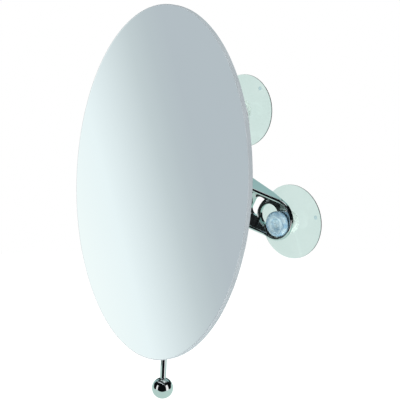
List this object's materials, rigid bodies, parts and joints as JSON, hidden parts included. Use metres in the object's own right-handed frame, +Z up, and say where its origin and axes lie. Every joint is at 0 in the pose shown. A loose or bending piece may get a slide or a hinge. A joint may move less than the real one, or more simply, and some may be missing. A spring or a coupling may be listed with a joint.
{
  "type": "makeup mirror",
  "caption": "Frameless oval makeup mirror that tilts and swivels on a chrome bracket with suction cups, aimed by a rod handle with a ball end.",
  "frame": {"origin": "on the wall, at the middle of the triangle of the suction cups", "axes": "+Z up, +Y into the wall, so the mirror faces -Y and +X is to the right of someone who looks into it"},
  "size_m": [0.1728, 0.1034, 0.2796],
  "materials": {
    "chrome_casting": "polished chrome plate on a zinc casting",
    "chrome_rod": "polished chrome plate on steel",
    "hinge_steel": "zinc-plated steel",
    "nylon": "natural nylon",
    "mirror_glass": "silvered float glass with a ground edge",
    "mirror_paint": "near-black protective paint and film",
    "foam_pad": "closed-cell foam tape",
    "clear_cup": "clear soft PVC with a pale green tint"
  },
  "bodies": {
    "wall_bracket": {"bracket_hub": "chrome_casting", "bracket_arm_top": "chrome_casting", "bracket_arm_left": "chrome_casting", "bracket_arm_right": "chrome_casting", "swivel_bolt": "hinge_steel", "swivel_nut": "hinge_steel", "swivel_spring_washer": "hinge_steel", "swivel_washers": "nylon"},
    "knuckle": {"knuckle_block": "chrome_casting"},
    "mirror_head": {"mirror_glass": "mirror_glass", "mirror_backing": "mirror_paint", "adhesive_pad": "foam_pad", "back_plate": "chrome_casting", "rod_set_screw": "hinge_steel", "handle_rod": "chrome_rod", "handle_ball": "chrome_rod", "tilt_bolt": "hinge_steel", "tilt_nut": "hinge_steel", "tilt_spring_washer": "hinge_steel", "tilt_washers": "nylon"},
    "cup_top": {"suction_cup_top": "clear_cup"},
    "cup_left": {"suction_cup_left": "clear_cup"},
    "cup_right": {"suction_cup_right": "clear_cup"}
  },
  "joints": [
    {"name": "swivel", "type": "hinge", "parent": "wall_bracket", "child": "knuckle", "pos_m": [0, -0.05401, 0], "axis": [0, 0, 1], "range_deg": [-30, 30]},
    {"name": "tilt", "type": "hinge", "parent": "knuckle", "child": "mirror_head", "pos_m": [0, -0.07201, 0], "axis": [-1, 0, 0], "range_deg": [-28, 21]},
    {"name": "cup_turn_top", "type": "hinge", "parent": "wall_bracket", "child": "cup_top", "pos_m": [0, 0, 0.054], "axis": [0, -1, 0], "continuous": true},
    {"name": "cup_turn_left", "type": "hinge", "parent": "wall_bracket", "child": "cup_left", "pos_m": [-0.04677, 0, -0.027], "axis": [0, -1, 0], "continuous": true},
    {"name": "cup_turn_right", "type": "hinge", "parent": "wall_bracket", "child": "cup_right", "pos_m": [0.04677, 0, -0.027], "axis": [0, -1, 0], "continuous": true}
  ]
}
